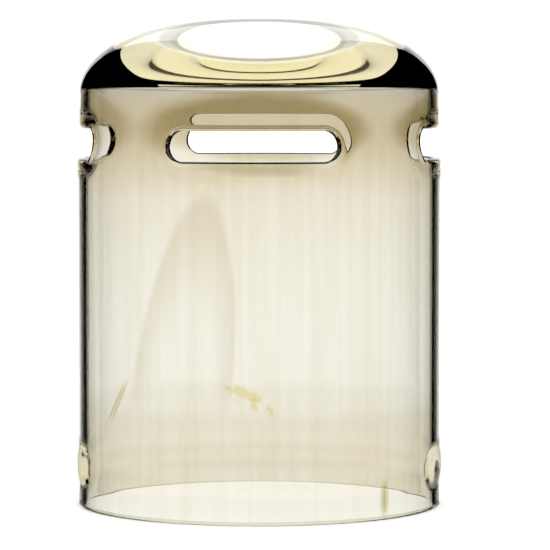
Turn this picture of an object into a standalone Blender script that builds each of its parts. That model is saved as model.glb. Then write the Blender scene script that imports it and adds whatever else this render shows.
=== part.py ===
"""Glass cover for a studio lamp head: a clear tube closed by a shallow dome, open at its foot.

Four long vent slots go through the wall under the dome, and two low lugs stand out of the wall
near the foot. All of it is one blown and fused piece. The nodes follow its glass work: the drawn
tube, the crown that closes it, and a fused lug on each side.

Metres, +Z up. The origin is the centre of the rim, in the plane that the rim stands on.
"""

from math import cos, pi, radians, sin

import bmesh
import bpy

MM = 0.001

# Driving dimensions
BODY_RADIUS = 37.5 * MM  # outside of the drawn tube
NECK_RADIUS = 37.1 * MM  # outside above the slots, where the fire drew the wall in
WALL = 1.8 * MM
HEIGHT = 100.5 * MM
GAP = 0.3 * MM  # kept between solids that touch

# Crown: its outside follows a superellipse
SPRING_HEIGHT = 84.75 * MM  # where the wall starts to curve inwards
ROUND_POWER = 0.765  # of the cosine, for the radius
RISE_POWER = 1.025  # of the sine, for the height
SEAM_HEIGHT = 81.0 * MM
CROWN_STEPS = 11
CROWN_CROWDING = 1.25  # above 1, the profile's points crowd towards the foot

# Vault: the hollow under the crown, which is closed with much thicker glass than the wall
VAULT_FOOT = 86.0 * MM  # where the straight bore meets the vault
VAULT_TOP = 95.5 * MM
VAULT_SPREAD = 2.56  # power of the radius: above 2, the vault is flatter in the middle
VAULT_LIFT = 1.1  # power of what is left: above 1, it meets the bore at a corner
VAULT_STEPS = 10

# Neck: the wall eases from the body's radius to the neck's over the slots
NECK_START = 72.0 * MM
NECK_END = 78.5 * MM
NECK_STEPS = 4

# Rim: fire-polished, a little flared, with a narrow flat land that it stands on
FLARE = 0.15 * MM
FLARE_HEIGHT = 1.5 * MM
FLARE_END = 5.0 * MM
LIP_RADIUS = 0.6 * MM
LIP_STEPS = 3

# Vent slots
SLOT_AZIMUTHS = (0, 90, 180, 270)
SLOT_HEIGHT = 74.6 * MM
SLOT_HALF_ANGLE = radians(27)
SLOT_HALF_OPENING = 3.0 * MM
SLOT_EASE = 0.45 * MM  # chamfer that stands for the melted edge
SLOT_INNER_REACH = 28.0 * MM  # how far in and out the cutters run
SLOT_OUTER_REACH = 46.0 * MM
CUTTER_OVERRUN = 1.0 * MM  # how far the ease goes on past each face of the wall

# Lugs: low pads fused into shallow seats in the wall
LUG_AZIMUTHS = {"left_lug": 180, "right_lug": 0}
LUG_HEIGHT = 8.6 * MM
LUG_HALF_ANGLE = radians(24.5)
LUG_HALF_OPENING = 5.0 * MM
LUG_PROUD = 0.45 * MM
LUG_SEAT = 0.8 * MM  # depth of the seat
LUG_EASE = 0.4 * MM

SEGMENTS = 72  # round the axis
SHARP_ANGLE = radians(50)  # edges steeper than this are drawn sharp
END_STEPS = 5  # round each end of a slot or a lug
LEAST_COLUMN = 0.2  # of a segment, between a stadium's straight part and its end

GLASS_COLOUR = (0.80, 0.77, 0.62, 1.0)
GLASS_ROUGHNESS = 0.03
GLASS_IOR = 1.47
WELD = 0.001 * MM  # merges the points that close a turned or lofted solid


def smooth_step(value):
    """Ease from 0 to 1 with level ends."""
    value = min(max(value, 0.0), 1.0)
    return value * value * (3.0 - 2.0 * value)


def outer_radius(height):
    """Outside radius of the side wall at a height."""
    neck = smooth_step((height - NECK_START) / (NECK_END - NECK_START))
    flare = 1.0 - smooth_step((height - FLARE_HEIGHT) / (FLARE_END - FLARE_HEIGHT))
    return BODY_RADIUS + (NECK_RADIUS - BODY_RADIUS) * neck + FLARE * flare


def arc(centre, radius, start, end, steps):
    """Points (radius, height) on an arc, with both ends."""
    angles = [start + (end - start) * i / steps for i in range(steps + 1)]
    return [(centre[0] + radius * cos(a), centre[1] + radius * sin(a)) for a in angles]


def side_profile():
    """Closed outline of the side wall: down the outside, round the rim, up the inside."""
    top = SEAM_HEIGHT - GAP / 2
    heights = [top]
    for i in range(NECK_STEPS + 1):
        heights.append(NECK_END + (NECK_START - NECK_END) * i / NECK_STEPS)
    heights += [FLARE_END, FLARE_HEIGHT]
    outside = [(outer_radius(h), h) for h in heights]
    rim_radius = outer_radius(0.0)
    outer_lip = arc((rim_radius - LIP_RADIUS, LIP_RADIUS), LIP_RADIUS, 0, -pi / 2, LIP_STEPS)
    inner_radius = BODY_RADIUS - WALL
    inner_lip = arc(
        (inner_radius + LIP_RADIUS, LIP_RADIUS), LIP_RADIUS, -pi / 2, -pi, LIP_STEPS
    )
    inside = [(outer_radius(h) - WALL, h) for h in reversed(heights[:-2])]
    return outside + outer_lip + inner_lip + inside


def crown_profile():
    """Outline of the crown: from the top of the axis down the outside, and back up the vault."""
    rise = HEIGHT - SPRING_HEIGHT
    outside = []
    for i in range(CROWN_STEPS + 1):
        turn = (pi / 2) * (1 - i / CROWN_STEPS) ** CROWN_CROWDING
        radius = NECK_RADIUS * max(cos(turn), 0.0) ** ROUND_POWER if i else 0.0
        outside.append((radius, SPRING_HEIGHT + rise * sin(turn) ** RISE_POWER))
    foot = SEAM_HEIGHT + GAP / 2
    outside.append((NECK_RADIUS, foot))
    bore = NECK_RADIUS - WALL
    inside = [(bore, foot)]
    for i in range(VAULT_STEPS + 1):
        share = cos((pi / 2) * i / VAULT_STEPS) if i < VAULT_STEPS else 0.0
        lift = (1 - share**VAULT_SPREAD) ** VAULT_LIFT
        inside.append((bore * share, VAULT_FOOT + (VAULT_TOP - VAULT_FOOT) * lift))
    return outside + inside


def glass(name):
    """The wall's own glass."""
    material = bpy.data.materials.new(name)
    material.use_nodes = True
    shader = material.node_tree.nodes["Principled BSDF"]
    shader.inputs["Base Color"].default_value = GLASS_COLOUR
    shader.inputs["Roughness"].default_value = GLASS_ROUGHNESS
    shader.inputs["IOR"].default_value = GLASS_IOR
    shader.inputs["Transmission Weight"].default_value = 1.0
    material.diffuse_color = GLASS_COLOUR
    return material


def finish(mesh, name):
    """Add an object for a bmesh, with its own glass and with its faces outwards."""
    bmesh.ops.remove_doubles(mesh, verts=mesh.verts, dist=WELD)
    bmesh.ops.recalc_face_normals(mesh, faces=mesh.faces)
    data = bpy.data.meshes.new(name)
    mesh.to_mesh(data)
    mesh.free()
    data.shade_smooth()
    data.set_sharp_from_angle(angle=SHARP_ANGLE)
    data.materials.append(glass(name + "_glass"))
    made = bpy.data.objects.new(name, data)
    bpy.context.scene.collection.objects.link(made)
    return made


def turned(name, outline, closed):
    """Turn an outline of (radius, height) points round the Z axis."""
    mesh = bmesh.new()
    verts = [mesh.verts.new((r, 0.0, h)) for r, h in outline]
    edges = [mesh.edges.new(pair) for pair in zip(verts, verts[1:])]
    if closed:
        edges.append(mesh.edges.new((verts[-1], verts[0])))
    bmesh.ops.spin(
        mesh,
        geom=verts + edges,
        axis=(0, 0, 1),
        cent=(0, 0, 0),
        angle=2 * pi,
        steps=SEGMENTS,
        use_merge=True,
    )
    return finish(mesh, name)


def stadium_columns(half_angle, half_opening, radius, grow):
    """Upright chords (angle, half height) across a stadium that lies round the wall."""
    end_radius = half_opening + grow
    straight = half_angle - half_opening / radius
    step = radians(360 / SEGMENTS)
    inner = [i * step for i in range(int(straight / step) + 1)]
    columns = [(a, end_radius) for a in inner if straight - a > LEAST_COLUMN * step]
    for i in range(END_STEPS + 1):
        turn = (pi / 2) * i / END_STEPS
        reach = end_radius * sin(turn) / radius
        columns.append((straight + reach, end_radius * cos(turn) if i < END_STEPS else 0.0))
    mirrored = [(-a, h) for a, h in reversed(columns) if a > 0]
    return mirrored + columns


def stadium_block(name, azimuth, height, half_angle, half_opening, stations):
    """A block with a stadium outline, from the inside out: one ring for each (radius, grow)."""
    mesh = bmesh.new()
    rings = []
    for radius, grow in stations:
        upper = []
        lower = []
        for angle, half in stadium_columns(half_angle, half_opening, BODY_RADIUS, grow):
            x = radius * cos(azimuth + angle)
            y = radius * sin(azimuth + angle)
            top = mesh.verts.new((x, y, height + half))
            upper.append(top)
            lower.append(top if half == 0.0 else mesh.verts.new((x, y, height - half)))
        rings.append((upper, lower))
    for upper, lower in (rings[0], rings[-1]):
        for i in range(len(upper) - 1):
            corners = [upper[i], upper[i + 1], lower[i + 1], lower[i]]
            mesh.faces.new(list(dict.fromkeys(corners)))
    for (upper, lower), (next_upper, next_lower) in zip(rings, rings[1:]):
        for i in range(len(upper) - 1):
            mesh.faces.new((upper[i], upper[i + 1], next_upper[i + 1], next_upper[i]))
            mesh.faces.new((lower[i + 1], lower[i], next_lower[i], next_lower[i + 1]))
    return finish(mesh, name)


def cut(target, cutter):
    """Take a cutter out of a solid."""
    modifier = target.modifiers.new(cutter.name, "BOOLEAN")
    modifier.operation = "DIFFERENCE"
    modifier.object = cutter
    cutter.hide_render = True
    cutter.display_type = "WIRE"


def slot_cutter(azimuth_degrees):
    """Cutter for a vent slot. It flares towards both faces of the wall, which eases the edges."""
    inner = BODY_RADIUS - WALL
    past = CUTTER_OVERRUN
    stations = (
        (SLOT_INNER_REACH, SLOT_EASE + past),
        (inner - past, SLOT_EASE + past),
        (inner + SLOT_EASE, 0.0),
        (BODY_RADIUS - SLOT_EASE, 0.0),
        (BODY_RADIUS + past, SLOT_EASE + past),
        (SLOT_OUTER_REACH, SLOT_EASE + past),
    )
    return stadium_block(
        f"slot_cutter_{azimuth_degrees}",
        radians(azimuth_degrees),
        SLOT_HEIGHT,
        SLOT_HALF_ANGLE,
        SLOT_HALF_OPENING,
        stations,
    )


def lug(name, azimuth_degrees):
    """A fused lug, and the cutter for its seat in the wall."""
    azimuth = radians(azimuth_degrees)
    floor = BODY_RADIUS - LUG_SEAT
    crest = BODY_RADIUS + LUG_PROUD
    shape = (LUG_HEIGHT, LUG_HALF_ANGLE, LUG_HALF_OPENING)
    pad_stations = ((floor + GAP, 0.0), (crest - LUG_EASE, 0.0), (crest, -LUG_EASE))
    stadium_block(name, azimuth, *shape, pad_stations)
    seat_stations = ((floor, GAP), (SLOT_OUTER_REACH, GAP))
    return stadium_block(name + "_seat_cutter", azimuth, *shape, seat_stations)


def main():
    for old in list(bpy.data.objects):
        bpy.data.objects.remove(old, do_unlink=True)

    wall = turned("side_wall", side_profile(), closed=True)
    for azimuth in SLOT_AZIMUTHS:
        cut(wall, slot_cutter(azimuth))
    for name, azimuth in LUG_AZIMUTHS.items():
        cut(wall, lug(name, azimuth))

    turned("crown", crown_profile(), closed=False)


main()
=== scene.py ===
# Glass cover of a studio lamp head, with its looks: one seamless blown wall, its glass with a thin
# warm coating, and the studio that it stands in. Metres, +Z up, in the frame of the CAD solids.

import math
from functools import partial

import bmesh
import bpy
import numpy as np
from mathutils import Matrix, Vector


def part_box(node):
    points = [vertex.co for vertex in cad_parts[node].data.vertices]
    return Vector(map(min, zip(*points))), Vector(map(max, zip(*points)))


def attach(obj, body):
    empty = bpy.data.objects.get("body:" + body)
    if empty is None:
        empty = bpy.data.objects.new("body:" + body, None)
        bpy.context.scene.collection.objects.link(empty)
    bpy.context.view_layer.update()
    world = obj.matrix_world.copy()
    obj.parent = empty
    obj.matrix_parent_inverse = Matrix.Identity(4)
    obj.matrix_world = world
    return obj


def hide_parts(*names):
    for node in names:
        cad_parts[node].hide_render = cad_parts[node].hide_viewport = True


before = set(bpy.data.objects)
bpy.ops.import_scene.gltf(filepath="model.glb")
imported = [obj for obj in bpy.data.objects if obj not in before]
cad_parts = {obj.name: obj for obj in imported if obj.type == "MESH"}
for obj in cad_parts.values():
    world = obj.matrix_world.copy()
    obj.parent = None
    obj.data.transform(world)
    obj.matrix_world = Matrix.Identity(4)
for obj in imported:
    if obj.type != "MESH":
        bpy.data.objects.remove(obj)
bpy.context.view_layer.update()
print("frame loaded")

mm = 0.001

# The blown wall, in millimetres and degrees. Its places follow the CAD solids.
wallShape = {
    "thickness": 1.8,
    "neckIn": 0.45,  # how far the fire drew the wall in over the slots
    "neckStart": 72.0,
    "neckEnd": 78.5,
    "flare": 0.15,
    "flareTop": 1.5,
    "flareEnd": 5.0,
    "rimRound": 0.85,
    "springHeight": 84.75,  # where the crown starts to curve in
    "roundPower": 0.765,
    "risePower": 1.025,
    "slotCentre": 74.6,
    "slotHalfHeight": 3.0,
    "slotHalfAngle": 27.0,
    "slotBead": 1.0,  # half thickness of the melted lip
    "beadEase": 3.5,  # how far past the lip the wall is still thicker
    "lugCentre": 8.6,
    "lugHalfAngle": 24.5,
    "lugHalfHeight": 5.0,
    "lugProud": 0.45,
    "lugEdge": 4.4,  # width of the lug's melted edge
    "vaultFoot": 86.0,  # where the straight bore meets the vault under the crown
    "vaultTop": 95.5,
    "vaultSpread": 2.56,
    "vaultLift": 1.1,
    "bandLow": 66.0,  # the stretch of wall that is gridded round the slots
    "bandHigh": 82.2,
}

# How finely the wall is gridded, with heights in millimetres
wallGrid = {
    "acrossSlot": 48,  # columns over a quarter turn
    "acrossEnd": 8,  # of those, on each bend of a slot
    "slotSide": 16,  # rows between two slots
    "lipRings": 9,
    "pastLip": [1.3, 1.65],  # two more rings, in half thicknesses of the lip from the slot's edge
    "bandRings": 12,
    "crownRows": 56,
    "crownCrowding": 1.3,  # the power by which the crown's rows crowd towards its top
    "neckRows": 6,
    "rimRows": 7,
    "plainRows": 22,
    "plainFoot": 17.0,
    "lugRows": (16.5, 0.9, -0.4),  # top, end and step of the closer rows over the lugs
}

wallLow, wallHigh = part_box("side_wall")
crownLow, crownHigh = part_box("crown")
rimRadius = (wallHigh[0] - wallLow[0]) / 2
bodyRadius = rimRadius - wallShape["flare"] * mm
coverHeight = crownHigh[2]
quarter = math.pi / 2
# the columns right round the cover start midway between two slots
around = np.arange(4 * wallGrid["acrossSlot"]) * quarter / wallGrid["acrossSlot"] - quarter / 2


def smoothStep(x):
    # 3x^2 - 2x^3 between 0 and 1, level at both ends
    x = np.clip(x, 0.0, 1.0)
    return x * x * (3.0 - 2.0 * x)


def stadiumDistance(along, up, halfLength, halfHeight):
    # distance outside a stadium: to its middle line, less its half height
    past = np.maximum(np.abs(along) - (halfLength - halfHeight), 0.0)
    return np.hypot(past, up) - halfHeight


def outerRadius(z):
    # the tube's radius, drawn in smoothly over the slots and flared at the rim
    s = wallShape
    neck = smoothStep((z / mm - s["neckStart"]) / (s["neckEnd"] - s["neckStart"]))
    flare = 1.0 - smoothStep((z / mm - s["flareTop"]) / (s["flareEnd"] - s["flareTop"]))
    return bodyRadius + (s["flare"] * flare - s["neckIn"] * neck) * mm


def lugRise(theta, z):
    # a low pad on each side: a stadium whose edge eases down over lugEdge
    s = wallShape
    side = np.where(np.cos(theta) >= 0, 0.0, math.pi)
    turn = np.angle(np.exp(1j * (theta - side)))
    halfLength = math.radians(s["lugHalfAngle"]) * bodyRadius
    edge = -stadiumDistance(
        turn * bodyRadius, z - s["lugCentre"] * mm, halfLength, s["lugHalfHeight"] * mm
    )
    return s["lugProud"] * mm * smoothStep(edge / (s["lugEdge"] * mm))


def slotDistance(theta, z):
    # distance from the nearest vent slot's edge, measured on the wall
    s = wallShape
    turn = np.angle(np.exp(4j * theta)) / 4
    return stadiumDistance(
        turn * bodyRadius,
        z - s["slotCentre"] * mm,
        math.radians(s["slotHalfAngle"]) * bodyRadius,
        s["slotHalfHeight"] * mm,
    )


def halfWall(theta, z):
    # half the wall's thickness: a round bead at a slot's edge that eases into the plain wall
    s = wallShape
    plain = s["thickness"] * mm / 2
    bead = s["slotBead"] * mm
    distance = slotDistance(theta, z)
    lip = np.sqrt(np.clip(1.0 - (1.0 - np.clip(distance / bead, 0.0, 1.0)) ** 2, 0.0, 1.0))
    ease = 1.0 - smoothStep((distance - bead) / (s["beadEase"] * mm))
    return (plain + (bead - plain) * ease) * lip


def wallPoints(theta, z, offset):
    # points of the tube: the wall's middle radius plus an offset, with the lugs on its outside
    middle = outerRadius(z) - wallShape["thickness"] * mm / 2
    radius = middle + offset + np.where(offset > 0, lugRise(theta, z), 0.0)
    return np.stack([radius * np.cos(theta), radius * np.sin(theta), z], -1)


def gridFaces(rows, columns, first):
    # quads of a grid of points that closes on itself round its columns
    row, column = np.meshgrid(np.arange(rows - 1), np.arange(columns), indexing="ij")
    a = first + row * columns + column
    b = first + row * columns + (column + 1) % columns
    return np.stack([a, b, b + columns, a + columns], -1).reshape(-1, 4)


def tubeGrid():
    # rows down the outside, round the fire-polished rim and up the inside
    s = wallShape
    g = wallGrid
    plain = s["thickness"] / 2
    bend = s["rimRound"]
    turns = np.linspace(0, quarter, g["rimRows"])
    upper = np.linspace(s["bandLow"], g["plainFoot"], g["plainRows"])
    heights = np.concatenate([upper, np.arange(*g["lugRows"])])
    outLip = np.stack([plain - bend + bend * np.cos(turns), bend - bend * np.sin(turns)], -1)
    inLip = outLip[::-1] * [-1, 1]
    rimMiddle = np.zeros((1, 2))
    down = np.stack([np.full(len(heights), plain), heights], -1)
    rows = np.concatenate([down, outLip, rimMiddle, inLip, down[::-1] * [-1, 1]]) * mm
    return wallPoints(around, rows[:, 1:] + 0 * around, rows[:, :1] + 0 * around)


def slotRing():
    # for each point of a ring round a slot: its place on the slot's middle line, and the way out
    s = wallShape
    g = wallGrid
    straight = math.radians(s["slotHalfAngle"]) * bodyRadius - s["slotHalfHeight"] * mm
    side = np.linspace(-straight, straight, g["acrossSlot"] - 2 * g["acrossEnd"] + 1)
    corner = np.linspace(-math.pi * 3 / 4, -quarter, g["acrossEnd"] + 1)[:-1]
    turnedEnd = np.linspace(-math.pi / 4, math.pi / 4, g["slotSide"] + 1)[:-1]
    along = np.concatenate([np.full(len(corner), -straight), side, np.full(len(corner), straight)])
    angle = np.concatenate([corner, np.full(len(side), -quarter), -math.pi - corner[::-1]])
    # the last corner point gives way to the end's first, and the other half is this one turned
    along = np.concatenate([along[:-1], np.full(g["slotSide"], straight)])
    angle = np.concatenate([angle[:-1], turnedEnd])
    along = np.concatenate([along, -along])
    angle = np.concatenate([angle, angle + math.pi])
    return along, np.cos(angle), np.sin(angle)


def bandRing():
    # the ring of the stretch of wall round a slot, in the same order as slotRing
    s = wallShape
    g = wallGrid
    reach = quarter / 2 * bodyRadius
    low = (s["bandLow"] - s["slotCentre"]) * mm
    high = (s["bandHigh"] - s["slotCentre"]) * mm
    across = np.linspace(-reach, reach, g["acrossSlot"] + 1)[:-1]
    rise = np.linspace(low, high, g["slotSide"] + 1)[:-1]
    fall = np.linspace(high, low, g["slotSide"] + 1)[:-1]
    along = np.concatenate([across, np.full(len(rise), reach), -across, np.full(len(fall), -reach)])
    up = np.concatenate([np.full(len(across), low), rise, np.full(len(across), high), fall])
    return along, up


def slotGrid(azimuth, side):
    # rings from a slot's edge outwards: true offsets over the lip, then eased into the band's ring
    s = wallShape
    g = wallGrid
    along, outAlong, outUp = slotRing()
    bandAlong, bandUp = bandRing()
    bend = s["slotHalfHeight"] * mm
    bead = s["slotBead"] * mm
    lip = bead * (1.0 - np.cos(np.linspace(0, quarter, g["lipRings"])))
    lip = np.concatenate([lip, [bead * part for part in g["pastLip"]]])[:, None]
    lipAlong = along + outAlong * (bend + lip)
    lipUp = outUp * (bend + lip)
    part = np.linspace(0, 1, g["bandRings"])[1:, None]
    restAlong = lipAlong[-1] + (bandAlong - lipAlong[-1]) * part
    restUp = lipUp[-1] + (bandUp - lipUp[-1]) * part
    theta = np.concatenate([lipAlong, restAlong]) / bodyRadius + azimuth
    z = np.concatenate([lipUp, restUp]) + s["slotCentre"] * mm
    return wallPoints(theta, z, side * halfWall(theta, z))


def crownGrid(side):
    # Outside: a superellipse from the spring height up. Inside: the vault's height over its foot is
    # (1 - share^spread)^lift of its rise, where share is the radius as a part of the bore.
    s = wallShape
    g = wallGrid
    widest = bodyRadius - s["neckIn"] * mm
    if side > 0:
        foot = s["springHeight"] * mm
        turn = quarter * (1 - np.linspace(1, 0, g["crownRows"]) ** g["crownCrowding"])
        radius = widest * np.clip(np.cos(turn), 0, 1) ** s["roundPower"]
        height = foot + (coverHeight - foot) * np.sin(turn) ** s["risePower"]
    else:
        widest -= s["thickness"] * mm
        foot = s["vaultFoot"] * mm
        share = np.cos(np.linspace(0, quarter, g["crownRows"]))
        radius = widest * share
        lift = np.clip(1 - share ** s["vaultSpread"], 0, 1) ** s["vaultLift"]
        height = foot + (s["vaultTop"] * mm - foot) * lift
    radius[-1] = 0.0
    straight = np.linspace(s["bandHigh"] * mm, foot, g["neckRows"])[:-1]
    radius = np.concatenate([np.full(len(straight), widest), radius])
    height = np.concatenate([straight, height])
    x = radius[:, None] * np.cos(around)
    y = radius[:, None] * np.sin(around)
    return np.stack([x, y, height[:, None] + 0 * around], -1)


def addSurface(name, grids):
    # one closed mesh from grids whose edges meet
    points, faces, first = [], [], 0
    for grid in grids:
        rows, columns = grid.shape[:2]
        points.append(grid.reshape(-1, 3))
        faces.append(gridFaces(rows, columns, first))
        first += rows * columns
    data = bpy.data.meshes.new(name)
    data.from_pydata(np.concatenate(points).tolist(), [], np.concatenate(faces).tolist())
    work = bmesh.new()
    work.from_mesh(data)
    bmesh.ops.remove_doubles(work, verts=work.verts, dist=2e-6)
    bmesh.ops.recalc_face_normals(work, faces=work.faces)
    openEdges = sum(not edge.is_manifold for edge in work.edges)
    work.to_mesh(data)
    work.free()
    data.shade_smooth()
    made = bpy.data.objects.new(name, data)
    bpy.context.scene.collection.objects.link(made)
    print(name, len(data.polygons), "faces,", openEdges, "open edges")
    return made


grids = [tubeGrid()]
for turn in range(4):
    for side in (1, -1):
        grids.append(slotGrid(turn * quarter, side))
grids += [crownGrid(1), crownGrid(-1)]
cover = addSurface("blown_glass", grids)


def linearColour(code):
    # an sRGB hex colour as linear light
    parts = [int(code[i : i + 2], 16) / 255 for i in (1, 3, 5)]
    linear = [c / 12.92 if c <= 0.04045 else ((c + 0.055) / 1.055) ** 2.4 for c in parts]
    return (*linear, 1.0)


def addNode(tree, kind, settings=None, *values, **sockets):
    # Adds a node. Settings are its own properties, and a word alone is its operation. Values fill
    # its inputs in order, sockets by name or number; a node given as a value is its first output.
    node = tree.nodes.new("ShaderNode" + kind)
    if isinstance(settings, str):
        settings = {"operation": settings}
    for key, value in (settings or {}).items():
        setattr(node, key, value)
    given = list(enumerate(values))
    for key, value in sockets.items():
        given.append((int(key[1:]) if key[1:].isdigit() else key.replace("_", " "), value))
    for key, value in given:
        if isinstance(value, bpy.types.ShaderNode):
            value = value.outputs[0]
        if isinstance(value, bpy.types.NodeSocket):
            tree.links.new(value, node.inputs[key])
        else:
            node.inputs[key].default_value = value
    return node


def newMaterial(name):
    material = bpy.data.materials.new(name)
    material.use_nodes = True
    material.node_tree.nodes.clear()
    return material, material.node_tree


# The coating's colours on one face of the glass, by height, and its marks. Places and sizes are in
# millimetres. A pair called an edge is where a mark's mask is 0 and where it is 1.
coating = {
    "heights": {
        0.0: "#f3f3ea",
        2.5: "#f0efe4",
        4.5: "#f0ede3",
        6.0: "#f5f2e6",
        8.0: "#f3efe1",
        10.0: "#f8f5ec",
        12.5: "#f5f2e9",
        20.5: "#f5f4ec",
        23.0: "#fcfbf7",
        35.0: "#fcfcf8",
        50.0: "#fbfaf4",
        63.0: "#f8f6ee",
        68.0: "#f3eee1",
        74.0: "#ebe4d5",
        80.0: "#e8e1d1",
        83.5: "#e5dfd0",
        85.5: "#e2dfd6",
        87.0: "#f6f5f0",
        88.5: "#fdfdfb",
    },
    "rampReach": 100.0,  # the height at the end of the colour ramp
    "waver": 1.6,  # how far the bands wander up and down
    "waverSize": 28.0,
    "evenEdge": (74.0, 79.0),  # the heights over which they stop wandering
    "frontEdge": (2.0, -2.0),  # marks on the front end between these places along Y
    "haloTint": "#e0dbc8",  # where the fumes settled round a vent slot
    "haloAcross": 22.5,
    "haloUp": 7.8,
    "haloCentre": 77.4,
    "haloFray": 0.5,
    "haloEdge": (1.12, 0.8),
    "runTint": "#f3eee7",  # the edge of the arch that a run left on the front
    "runCentre": -14.7,
    "runLean": 0.12,
    "runHalfWidth": 10.0,
    "runFoot": 21.5,
    "runRise": 43.5,
    "runFray": 0.12,
    "runOuterEdge": (1.05, 0.95),
    "runInnerEdge": (0.45, 1.0),
    "runFootEdge": (19.0, 30.0),
    "spotTint": "#f0e2a8",  # where the run's foot dried
    "spotSize": 2.6,
    "spotGrainEdge": (0.52, 0.62),
    "spotCentre": (-0.5, 24.8),
    "spotReach": (6.0, 2.2),
    "spotFall": 0.55,  # how far the spots drop for each millimetre to the right
    "spotEdge": (1.1, 0.6),
    "smearTint": "#cfc79a",
    # each smear's lean, its place across at the rim's height, half width, height and half height
    "smears": [(0.42, -36.9, 0.35, 23.5, 5.0), (0.0, 25.6, 0.7, 4.2, 4.0)],
    "smearEdge": (1.1, 0.5),
    "drawnTint": "#faf9f4",
    "drawnSize": 2.4,  # spacing of the faint draw lines of the tube
    "drawnStretch": 0.04,
    "drawnEdge": (0.35, 0.7),
    "drawnTopEdge": (84.0, 78.0),
}

glassBody = {
    "ior": 1.47,
    "absorbs": "#f1e380",
    "density": 11.0,
    "rippleStrength": 0.05,
    "rippleDepth": 0.02,  # millimetres
    "roughLines": (0.4, 0.8),  # the draw lines' noise over which the glass gets rougher
    "roughest": 0.004,
}


def coatingColour(tree):
    # the coating's colour from where a point is on the cover, and its draw lines with their mask
    c = coating
    add = partial(addNode, tree)
    places = add("TexCoord").outputs["Object"]
    scaled = add("VectorMath", "SCALE", places, Scale=1 / mm)
    x, y, z = add("SeparateXYZ", None, scaled).outputs

    def tinted(colour, code, mask):
        # multiplies a colour by a tint where the mask is 1
        blend = {"data_type": "RGBA", "blend_type": "MULTIPLY"}
        return add("Mix", blend, mask, i6=colour, i7=linearColour(code)).outputs[2]

    def eased(value, edge):
        # 0 to 1 between an edge's two values, level at both ends
        return add("MapRange", {"interpolation_type": "SMOOTHSTEP"}, value, *edge)

    def oval(across, up):
        # distance from a centre in an oval's own radii
        squared = add("Math", "MULTIPLY_ADD", across, across, add("Math", "MULTIPLY", up, up))
        return add("Math", "SQRT", squared)

    def shifted(value, centre, reach):
        return add("Math", "DIVIDE", add("Math", "SUBTRACT", value, centre), reach)

    # bands by height, which wander a little below the slots
    cloud = add("TexNoise", None, Vector=places, Scale=1 / (c["waverSize"] * mm), Detail=3.0)
    sway = add("Math", "SUBTRACT", cloud, 0.5)
    swung = add("Math", "MULTIPLY_ADD", sway, 2 * c["waver"], z)
    even = add("MapRange", None, z, *c["evenEdge"])
    height = add("Mix", {"data_type": "FLOAT"}, even, i2=swung, i3=z)
    ramp = add("ValToRGB", None, add("Math", "DIVIDE", height, c["rampReach"]))
    stops = ramp.color_ramp.elements
    levels = sorted(c["heights"].items())
    stops[0].position = levels[0][0] / c["rampReach"]
    stops[1].position = levels[-1][0] / c["rampReach"]
    for level, code in levels[1:-1]:
        stops.new(level / c["rampReach"])
    for stop, (level, code) in zip(stops, levels):
        stop.color = linearColour(code)
    colour = ramp.outputs[0]
    front = eased(y, c["frontEdge"])

    # halo round each vent slot: an oval in height and in the distance along the wall
    sideways = add("Math", "MINIMUM", add("Math", "ABSOLUTE", x), add("Math", "ABSOLUTE", y))
    halo = oval(shifted(sideways, 0.0, c["haloAcross"]), shifted(z, c["haloCentre"], c["haloUp"]))
    frayed = add("Math", "MULTIPLY_ADD", sway, c["haloFray"], halo)
    colour = tinted(colour, c["haloTint"], eased(frayed, c["haloEdge"]))

    # arch left by a run: crisp on its outside, fading inwards and towards its foot
    rise = add("Math", "SUBTRACT", z, c["runFoot"])
    middle = add("Math", "MULTIPLY_ADD", rise, c["runLean"], c["runCentre"])
    arch = oval(shifted(x, middle, c["runHalfWidth"]), add("Math", "DIVIDE", rise, c["runRise"]))
    wavy = add("Math", "MULTIPLY_ADD", sway, c["runFray"], arch)
    outer, inner = eased(wavy, c["runOuterEdge"]), eased(wavy, c["runInnerEdge"])
    within = add("Math", "MULTIPLY", outer, inner)
    above = add("Math", "MULTIPLY", eased(z, c["runFootEdge"]), front)
    colour = tinted(colour, c["runTint"], add("Math", "MULTIPLY", within, above))

    # yellow spots along the run's foot, broken up by a fine noise
    fine = add("TexNoise", None, Vector=places, Scale=1 / (c["spotSize"] * mm), Detail=2.0)
    fallen = add("Math", "MULTIPLY_ADD", x, c["spotFall"], z)
    patch = oval(
        shifted(x, c["spotCentre"][0], c["spotReach"][0]),
        shifted(fallen, c["spotCentre"][1], c["spotReach"][1]),
    )
    spots = add("Math", "MULTIPLY", eased(fine, c["spotGrainEdge"]), eased(patch, c["spotEdge"]))
    colour = tinted(colour, c["spotTint"], add("Math", "MULTIPLY", spots, front))

    # thin smears: a slanted one at the left and an upright one by the rim
    for lean, foot, wide, centre, tall in c["smears"]:
        upright = add("Math", "MULTIPLY_ADD", z, -lean, x)
        streak = oval(shifted(upright, foot, wide), shifted(z, centre, tall))
        smear = add("Math", "MULTIPLY", eased(streak, c["smearEdge"]), front)
        colour = tinted(colour, c["smearTint"], smear)

    # draw lines: a noise stretched along the tube
    drawn = add("Mapping", None, places, Scale=(1.0, 1.0, c["drawnStretch"]))
    lines = add("TexNoise", None, Vector=drawn, Scale=1 / (c["drawnSize"] * mm), Detail=4.0)
    onTube = add("Math", "MULTIPLY", eased(lines, c["drawnEdge"]), eased(z, c["drawnTopEdge"]))
    return tinted(colour, c["drawnTint"], onTube), lines, onTube


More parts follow.
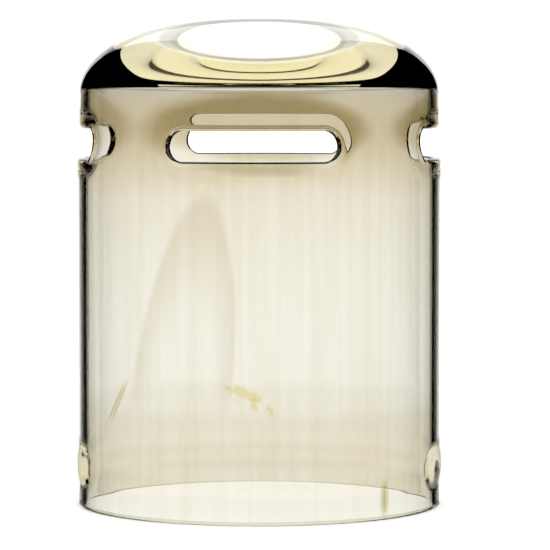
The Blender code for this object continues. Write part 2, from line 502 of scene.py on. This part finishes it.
def borosilicateGlass():
    # Blown borosilicate with a thin ultraviolet coating: clear and colourless in the crown, a faint
    # warm grey on the tube, deeper towards the slots. Long ways through the glass turn it yellow.
    g = glassBody
    material, tree = newMaterial("borosilicateGlass")
    colour, lines, onTube = coatingColour(tree)
    ripple = addNode(tree, "Math", "MULTIPLY", lines, onTube)
    bump = addNode(
        tree,
        "Bump",
        None,
        Strength=g["rippleStrength"],
        Distance=g["rippleDepth"] * mm,
        Height=ripple,
    )
    rough = addNode(tree, "MapRange", None, lines, *g["roughLines"], 0.0, g["roughest"])
    shader = addNode(
        tree,
        "BsdfPrincipled",
        None,
        Base_Color=colour,
        Roughness=rough,
        IOR=g["ior"],
        Transmission_Weight=1.0,
        Normal=bump,
    )
    absorbs = linearColour(g["absorbs"])
    inside = addNode(tree, "VolumeAbsorption", None, Color=absorbs, Density=g["density"])
    addNode(tree, "OutputMaterial", None, Surface=shader, Volume=inside)
    return material


cover.data.materials.append(borosilicateGlass())
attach(cover, "root")
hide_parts("side_wall", "crown", "left_lug", "right_lug")
print("glass and coating made")

# Studio: a white card behind the cover, everything else dark in the glass, and a pale floor.
# Lengths are in metres and angles in degrees.
studio = {
    "cardDistance": 0.240,
    # the card's stretches from its foot up: half width, lowest, highest, light
    "card": [
        (0.120, -0.11, 0.13, 1.125),
        (0.115, 0.13, 0.175, 0.6),
        (0.115, 0.175, 0.55, 1.35),
    ],
    "roomLight": 1.5,
    "floorSize": 3.0,
    "floorCorners": 64,
    "floorColour": "#f8f8f8",
    "lens": 226,  # millimetres, on a sensor 36 mm wide
    "cameraAzimuth": 2.0,
    "cameraDistance": 0.712,
    "cameraHeight": 0.091,
    "cameraPitch": -3.516,
    "cameraTurn": 0.262,  # how far right of the axis the camera looks
}

# Light runs round the thick crown many times before it leaves.
lightBounces = {"max_bounces": 24, "glossy_bounces": 14, "transmission_bounces": 20}


def studioWorld():
    # white for the camera and for what the floor gathers; dark for what the glass gathers
    world = bpy.data.worlds.new("studio")
    bpy.context.scene.world = world
    world.use_nodes = True
    tree = world.node_tree
    tree.nodes.clear()
    path = addNode(tree, "LightPath").outputs
    either = {"operation": "ADD", "use_clamp": True}
    lit = addNode(tree, "Math", either, path["Is Camera Ray"], path["Diffuse Depth"])
    level = addNode(tree, "Math", "MULTIPLY", lit, studio["roomLight"])
    background = addNode(tree, "Background", None, (1, 1, 1, 1), level)
    addNode(tree, "OutputWorld", None, background)


def addCard(camera):
    # the card stands on the far side of the cover from the camera
    s = studio
    pivot = bpy.data.objects.new("card_pivot", None)
    bpy.context.scene.collection.objects.link(pivot)
    pivot.location = (0, 0, coverHeight / 2)
    track = pivot.constraints.new("TRACK_TO")
    track.target = camera
    track.track_axis = "TRACK_Z"
    track.up_axis = "UP_Y"
    data = bpy.data.meshes.new("white_card")
    points = []
    for wide, low, top, light in s["card"]:
        corners = [(-wide, low), (wide, low), (wide, top), (-wide, top)]
        points += [(x, y, -s["cardDistance"]) for x, y in corners]
        material, tree = newMaterial("cardLight")
        shader = addNode(tree, "Emission", None, Strength=light)
        addNode(tree, "OutputMaterial", None, shader)
        data.materials.append(material)
    stretches = range(len(s["card"]))
    data.from_pydata(points, [], [tuple(range(4 * i, 4 * i + 4)) for i in stretches])
    for i in stretches:
        data.polygons[i].material_index = i
    card = bpy.data.objects.new("white_card", data)
    bpy.context.scene.collection.objects.link(card)
    card.parent = pivot
    card.visible_camera = False
    card.visible_diffuse = False


def addFloor():
    # pale paper, which the glass itself doesn't see
    size, corners = studio["floorSize"], studio["floorCorners"]
    turns = np.arange(corners) * 2 * math.pi / corners
    rim = np.stack([size * np.cos(turns), size * np.sin(turns), 0 * turns], -1)
    data = bpy.data.meshes.new("studio_floor")
    data.from_pydata(rim.tolist(), [], [list(range(corners))])
    made = bpy.data.objects.new("studio_floor", data)
    bpy.context.scene.collection.objects.link(made)
    material, tree = newMaterial("floorPaper")
    shader = addNode(tree, "BsdfDiffuse", None, linearColour(studio["floorColour"]))
    addNode(tree, "OutputMaterial", None, shader)
    data.materials.append(material)
    made.visible_transmission = False
    made.visible_glossy = False


def addCamera():
    s = studio
    data = bpy.data.cameras.new("camera")
    made = bpy.data.objects.new("camera", data)
    bpy.context.scene.collection.objects.link(made)
    bpy.context.scene.camera = made
    data.sensor_width = 36
    data.lens = s["lens"]
    azimuth = math.radians(s["cameraAzimuth"])
    distance = s["cameraDistance"]
    along, across = -distance * math.cos(azimuth), distance * math.sin(azimuth)
    made.location = (across, along, s["cameraHeight"])
    pitch = math.radians(s["cameraPitch"])
    yaw = azimuth - math.radians(s["cameraTurn"])
    made.rotation_euler = (math.pi / 2 + pitch, 0, yaw)
    data.clip_start, data.clip_end = 0.05, 20
    return made


studioWorld()
addFloor()
addCard(addCamera())
bpy.context.scene.view_settings.view_transform = "Standard"
bpy.context.scene.cycles.use_denoising = True
for limit, count in lightBounces.items():
    setattr(bpy.context.scene.cycles, limit, count)
print("studio built")
